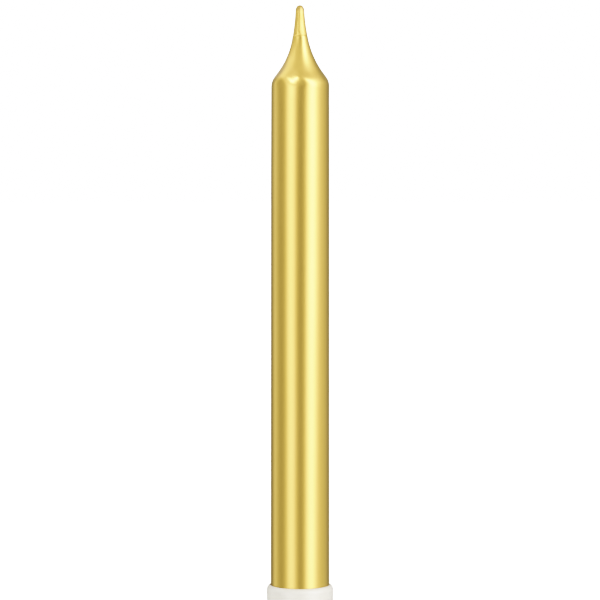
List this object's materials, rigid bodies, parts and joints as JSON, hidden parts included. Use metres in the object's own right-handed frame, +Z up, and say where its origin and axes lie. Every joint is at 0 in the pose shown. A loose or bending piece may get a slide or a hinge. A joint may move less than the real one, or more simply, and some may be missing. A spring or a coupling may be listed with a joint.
{
  "type": "candle in a candlestick",
  "caption": "Gold-lacquered round rod candle with a coned top and a coated wick, lifting out of a white socket cup on a low round foot.",
  "frame": {"origin": "middle of the felt ring's underside, on the candle's axis, in the plane that the candlestick stands on", "axes": "+Z up along the candle, from the foot to the tip of the wick; the object is round about Z"},
  "size_m": [0.085, 0.085, 0.2627],
  "materials": {
    "gold_lacquer": "satin",
    "white_wax": "satin",
    "cotton_wick": "matte",
    "white_powder_coat": "satin",
    "zinc_plated_steel": "satin",
    "wool_felt": "matte"
  },
  "bodies": {
    "holder": {"socket_cup": "white_powder_coat", "foot_plate": "white_powder_coat", "cup_screw": "zinc_plated_steel", "felt_ring": "wool_felt"},
    "candle": {"wick": "cotton_wick", "wick_coat": "gold_lacquer", "wax_core": "white_wax", "gold_coat": "gold_lacquer"}
  },
  "joints": [
    {"name": "candle_lift", "type": "slide", "parent": "holder", "child": "candle", "axis": [0, 0, 1], "range_m": [0, 0.04]}
  ]
}
